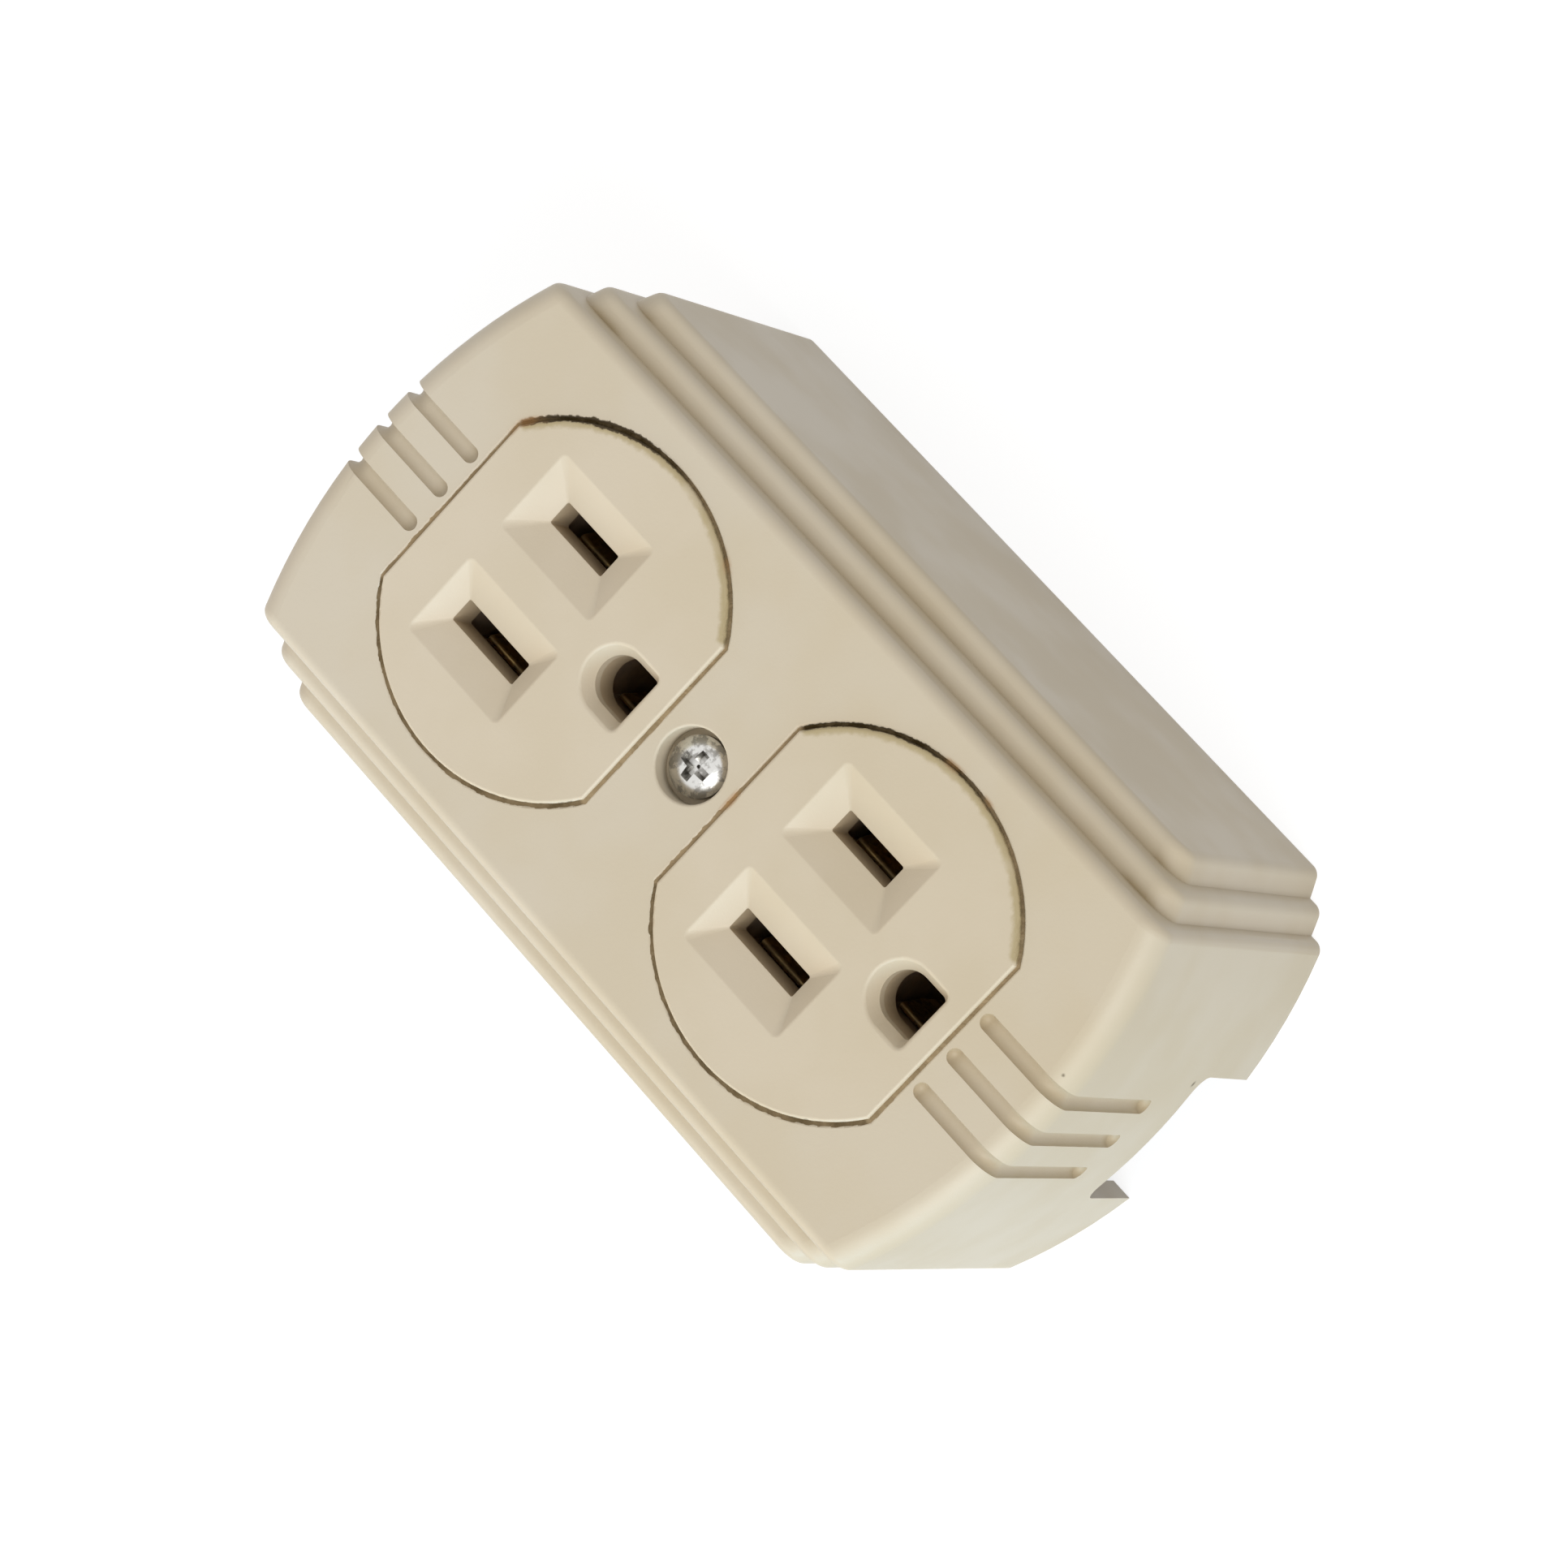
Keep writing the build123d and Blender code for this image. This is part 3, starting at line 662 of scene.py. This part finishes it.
def cut(shape, cutters):
    """The bmesh with each cutter taken out of it by a Boolean modifier."""
    holder = bpy.data.objects.new("cut_holder", bpy.data.meshes.new("cut_holder"))
    shape.to_mesh(holder.data)
    shape.free()
    scene = bpy.context.scene.collection
    scene.objects.link(holder)
    tools = []
    for cutter in cutters:
        tool = bpy.data.objects.new("cut_tool", bpy.data.meshes.new("cut_tool"))
        cutter.to_mesh(tool.data)
        cutter.free()
        scene.objects.link(tool)
        modifier = holder.modifiers.new("cut", "BOOLEAN")
        modifier.operation = "DIFFERENCE"
        modifier.solver = "EXACT"
        modifier.object = tool
        tools.append(tool)
    graph = bpy.context.evaluated_depsgraph_get()
    done = bmesh.new()
    done.from_mesh(holder.evaluated_get(graph).to_mesh())
    bmesh.ops.dissolve_degenerate(done, dist=SLIVER, edges=done.edges)
    for spare in [holder, *tools]:
        bpy.data.meshes.remove(spare.data)
    return done


def screw(node, direction, crest, head_height, kind, material, slot, rim=None):
    """Screw with a recess and a thread, for a node whose head points in a direction; a rim adds a dome."""
    metals = bpy.context.scene.socket_metals
    low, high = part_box(node)
    size = high - low
    whole = abs(size.dot(direction))
    head_radius = sorted(size)[1] / 2
    reach = whole - head_height
    top = domed_top(head_radius, head_height, rim) if rim else pan_top(head_radius, head_height)
    core = crest - metals.thread_depth
    recess_depth = 0.55 * head_height
    shape = turned(screw_profile(top, head_radius, core, reach), TURNED_STEPS)
    cutters = recess_cutters(kind, head_radius, recess_depth)
    for cutter in cutters:
        bmesh.ops.translate(cutter, vec=(0, 0, head_height), verts=cutter.verts)
    shape = cut(shape, cutters)
    pitch = metals.thread_pitch
    add_thread(shape, crest, metals.thread_depth, pitch, pitch - reach, -pitch)
    bmesh.ops.recalc_face_normals(shape, faces=shape.faces)
    underside = (low + high) / 2 + direction * (whole / 2 - head_height)
    place = Matrix.Translation(underside) @ UP.rotation_difference(direction).to_matrix().to_4x4()
    bmesh.ops.transform(shape, matrix=place, verts=shape.verts)
    piece = add_piece(f"{node}_turned", shape, material, node)
    piece.data.shade_smooth()
    piece.data.set_sharp_from_angle(angle=SHARP_EDGE)


def packed_joint(middle):
    """Ring of uneven dirt round the face at a place along Y, sunk towards its right-hand side."""
    looks = bpy.context.scene.socket_plastics
    sink = looks.joint_sink
    inner = looks.face_radius - FACE_OVERLAP
    outer = looks.face_radius + looks.joint_gap + COVER_OVERLAP
    bottom = FRONT - DIRT_DEPTH
    top = FRONT - 0.3 * sink
    section = [(inner, bottom), (inner, top), (outer, top), (outer, bottom), (inner, bottom)]
    shape = turned(section, DIRT_STEPS)

    # The round ring is pressed flat along the face's flat sides, and its top gets lumps
    for vert in shape.verts:
        radius = vert.co.xy.length
        flat = looks.face_flat + radius - looks.face_radius
        vert.co.y = min(max(vert.co.y, -flat), flat)
        place = vert.co + Vector((0, middle, 0))
        if vert.co.z > bottom + SLIVER:
            lump = noise.noise(place * LUMPS) + 0.7 * noise.noise(place * FINE_LUMPS)
            place.z += lump * LUMP_HEIGHT - sink * max(0.0, vert.co.x / radius)
        vert.co = place
    return shape


class SOCKET_OT_effects(bpy.types.Operator):
    """Build the shader groups that the finishes share"""

    bl_idname = "socket.effects"
    bl_label = "Shared effects"

    def execute(self, context):
        make_moulded_skin()
        make_joint_soil_and_shade()
        make_metal_wear()
        return {"FINISHED"}


class SOCKET_OT_mouldings(bpy.types.Operator):
    """Finish the cover, the faces and the works behind them"""

    bl_idname = "socket.mouldings"
    bl_label = "Mouldings"

    def execute(self, context):
        looks = context.scene.socket_plastics
        # The cover has no plug entries, so the depth at which their painted shade and dirt start is its whole
        # height
        cover = ivory_plastic("cover_ivory", looks.cover, entry_depth=FRONT, crevice_limit=0.92)
        faces = ivory_plastic("face_ivory", looks.faces, entry_depth=MOUTH_DEPTH, crevice_limit=0.8)
        dress(["cover"], cover)
        dress(["socket_face"], faces)
        dress(["base"], works_plastic("base_brown", looks.base))
        dress(["contact_housing"], works_plastic("housing_brown", looks.housing))
        return {"FINISHED"}


class SOCKET_OT_joints(bpy.types.Operator):
    """Pack uneven dirt into the joints between the faces and the cover"""

    bl_idname = "socket.joints"
    bl_label = "Dirt in the joints"

    def execute(self, context):
        dirt = joint_dirt("joint_dirt")
        for end in ("upper", "lower"):
            shape = packed_joint(PLACES[f"{end}_plug_entry"].y)
            add_piece(f"joint_dirt_{end}", shape, dirt)
        return {"FINISHED"}


class SOCKET_OT_cover_screw(bpy.types.Operator):
    """Turn the bright screw that holds the cover"""

    bl_idname = "socket.cover_screw"
    bl_label = "Cover screw"

    def execute(self, context):
        tone = context.scene.socket_metals.nickel
        nickel = used_metal("bright_nickel", tone, roughness=0.12, film_share=0.6, spot=1.3 * MM)
        screw("cover_screw", UP, *COVER_SCREW, "cross", nickel, "plated_screw", COVER_SCREW_RIM)
        return {"FINISHED"}


class SOCKET_OT_assembly_screws(bpy.types.Operator):
    """Turn the two screws that hold the works together from behind"""

    bl_idname = "socket.assembly_screws"
    bl_label = "Assembly screws"

    def execute(self, context):
        tone = context.scene.socket_metals.zinc
        zinc = used_metal("zinc_plate", tone, roughness=0.3, film_share=0.6, spot=2.0 * MM)
        for end in ("upper", "lower"):
            screw(f"assembly_screw_{end}", -UP, *ASSEMBLY_SCREW, "cross", zinc, "plain_steel")
        dress(["cover_nut"], zinc)
        return {"FINISHED"}


class SOCKET_OT_terminal_screws(bpy.types.Operator):
    """Turn the five binding screws of the terminals"""

    bl_idname = "socket.terminal_screws"
    bl_label = "Terminal screws"

    def execute(self, context):
        metals = context.scene.socket_metals
        right = Vector((1, 0, 0))
        finish = {"roughness": 0.25, "film_share": 0.5, "spot": 2.0 * MM}
        brass = used_metal("brass_turned", metals.brass, **finish)
        white = used_metal("white_turned", metals.nickel, **finish)
        green = used_metal("green_turned", metals.green, **finish)
        for end in ("upper", "lower"):
            screw(f"line_terminal_screw_{end}", right, *TERMINAL_SCREW, "slot", brass, "brass_screw")
        for end in ("upper", "lower"):
            screw(f"neutral_terminal_screw_{end}", -right, *TERMINAL_SCREW, "slot", white, "white_screw")
        screw("earth_terminal_screw", Vector((0, -1, 0)), *TERMINAL_SCREW, "slot", green, "green_screw")
        return {"FINISHED"}


class SOCKET_OT_contacts(bpy.types.Operator):
    """Finish the brass contacts, the earth strap and its rivets"""

    bl_idname = "socket.contacts"
    bl_label = "Contacts"

    def execute(self, context):
        tone = context.scene.socket_metals.brass
        # The contacts take only a little of the painted crevice shade
        finish = {"roughness": 0.35, "film_share": 0.5, "spot": 3.0 * MM, "crevice_shade_share": 0.2}
        brass = used_metal("contact_brass_dull", tone, **finish)
        dress(["line_contact", "neutral_contact", "earth_strap"], brass)
        for end in ("upper", "lower"):
            dress([f"earth_contact_{end}", f"earth_rivet_{end}"], brass)
        return {"FINISHED"}


class SOCKET_OT_stage(bpy.types.Operator):
    """Set the floor, the lamps, the white surround and the camera"""

    bl_idname = "socket.stage"
    bl_label = "Stage"

    def execute(self, context):
        context.scene.view_settings.view_transform = "Standard"
        set_floor(context.scene.socket_stage)
        set_surround(context.scene.socket_stage)
        set_lamps(context.scene.socket_stage)
        set_camera(context.scene.socket_stage)
        return {"FINISHED"}


def seen_directly(board):
    """1 for rays from the camera, or from a mirror-like or clear surface, and 0 for the rest."""
    path = board.add("ShaderNodeLightPath").outputs
    seen = board.math("MAXIMUM", path["Is Camera Ray"], path["Is Glossy Ray"])
    return board.math("MAXIMUM", seen, path["Is Transmission Ray"])


def set_floor(stage):
    """Pale floor that shows white and keeps a soft shadow."""
    shape = bmesh.new()
    bmesh.ops.create_grid(shape, x_segments=1, y_segments=1, size=stage.floor_size / 2)
    mesh = bpy.data.meshes.new("floor")
    shape.to_mesh(mesh)
    shape.free()
    floor = bpy.data.objects.new("floor", mesh)
    bpy.context.scene.collection.objects.link(floor)
    material = bpy.data.materials.new("floor_pale")
    material.use_nodes = True
    material.node_tree.nodes.clear()
    board = NodeBoard(material.node_tree)
    pale = board.add("ShaderNodeBsdfDiffuse", None, Color=rgba([stage.floor] * 3)).outputs[0]
    white = board.add("ShaderNodeEmission", None, Strength=1.0 - stage.floor_shade * FLOOR_LIGHT).outputs[0]
    shade = board.add("ShaderNodeBsdfDiffuse", None, Color=rgba([stage.floor_shade] * 3)).outputs[0]
    shown = board.add("ShaderNodeAddShader")
    board.set(shown.inputs[0], white)
    board.set(shown.inputs[1], shade)
    mixed = board.add("ShaderNodeMixShader")
    for socket, value in zip(mixed.inputs, (seen_directly(board), pale, shown.outputs[0])):
        board.set(socket, value)
    board.add("ShaderNodeOutputMaterial", None, Surface=mixed.outputs[0])
    mesh.materials.append(material)


def set_surround(stage):
    """White surround that lights the socket only as a soft fill."""
    world = bpy.data.worlds.new("surround")
    bpy.context.scene.world = world
    world.use_nodes = True
    world.node_tree.nodes.clear()
    board = NodeBoard(world.node_tree)
    fill = board.add("ShaderNodeBackground", None, Color=(1, 1, 1, 1), Strength=stage.fill_level).outputs[0]
    white = board.add("ShaderNodeBackground", None, Color=(1, 1, 1, 1), Strength=1.0).outputs[0]
    mixed = board.add("ShaderNodeMixShader")
    for socket, value in zip(mixed.inputs, (seen_directly(board), fill, white)):
        board.set(socket, value)
    board.add("ShaderNodeOutputWorld", None, Surface=mixed.outputs[0])


def set_lamps(stage):
    """Three large square lamps: the main one, and low ones to the left and beyond the lower end."""
    rows = [
        ("key_lamp", stage.key, stage.key_level, Vector((-0.20, -0.70, 0.68))),
        ("warm_lamp", stage.warm, stage.warm_level, Vector((-0.98, 0.15, 0.06))),
        ("cool_lamp", stage.cool, stage.cool_level, Vector((-0.75, -0.66, 0.04))),
    ]
    for name, tone, level, towards in rows:
        lamp = bpy.data.lights.new(name, "AREA")
        lamp.size = stage.lamp_size
        lamp.color = tone
        lamp.energy = level * (pi * stage.lamp_distance) ** 2
        holder = bpy.data.objects.new(name, lamp)
        holder.location = towards.normalized() * stage.lamp_distance
        holder.rotation_euler = (-towards).to_track_quat("-Z", "Y").to_euler()
        bpy.context.scene.collection.objects.link(holder)


def set_camera(stage):
    """Camera that looks down on the front from the lower right, turned about its line of sight."""
    flat = cos(stage.elevation)
    back = Vector((sin(stage.azimuth) * flat, -cos(stage.azimuth) * flat, sin(stage.elevation)))
    camera = bpy.data.cameras.new("camera")
    camera.sensor_width = 36.0
    camera.lens = stage.lens
    camera.clip_start = 0.01
    camera.clip_end = 100.0
    holder = bpy.data.objects.new("camera", camera)
    holder.location = Vector(stage.aim) + back * stage.distance
    level = (-back).to_track_quat("-Z", "Y")
    holder.rotation_euler = (level @ Quaternion((0, 0, 1), stage.roll)).to_euler()
    bpy.context.scene.collection.objects.link(holder)
    bpy.context.scene.camera = holder


OPERATORS = (
    SOCKET_OT_effects,
    SOCKET_OT_mouldings,
    SOCKET_OT_joints,
    SOCKET_OT_cover_screw,
    SOCKET_OT_assembly_screws,
    SOCKET_OT_terminal_screws,
    SOCKET_OT_contacts,
    SOCKET_OT_stage,
)
GROUPS = {
    "socket_plastics": SocketPlastics,
    "socket_metals": SocketMetals,
    "socket_stage": SocketStage,
}


class SOCKET_PT_panel(bpy.types.Panel):
    """Sidebar panel with the socket's sizes, colours and steps"""

    bl_idname = "SOCKET_PT_panel"
    bl_label = "Socket"
    bl_space_type = "VIEW_3D"
    bl_region_type = "UI"
    bl_category = "Socket"

    def draw(self, context):
        for operator in OPERATORS:
            self.layout.operator(operator.bl_idname)
        for name in GROUPS:
            values = getattr(context.scene, name)
            box = self.layout.box()
            for key in values.bl_rna.properties.keys():
                if key not in {"rna_type", "name"}:
                    box.prop(values, key)


def register():
    """Add the classes and the scene's settings."""
    for kind in (*GROUPS.values(), *OPERATORS, SOCKET_PT_panel):
        bpy.utils.register_class(kind)
    for name, kind in GROUPS.items():
        setattr(bpy.types.Scene, name, PointerProperty(type=kind))


def unregister():
    """Take away the scene's settings and the classes."""
    for name in GROUPS:
        delattr(bpy.types.Scene, name)
    for kind in reversed((*GROUPS.values(), *OPERATORS, SOCKET_PT_panel)):
        bpy.utils.unregister_class(kind)


def main():
    """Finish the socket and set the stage."""
    register()
    bpy.ops.socket.effects()
    bpy.ops.socket.mouldings()
    bpy.ops.socket.joints()
    bpy.ops.socket.cover_screw()
    bpy.ops.socket.assembly_screws()
    bpy.ops.socket.terminal_screws()
    bpy.ops.socket.contacts()
    bpy.ops.socket.stage()


if __name__ == "__main__":
    main()
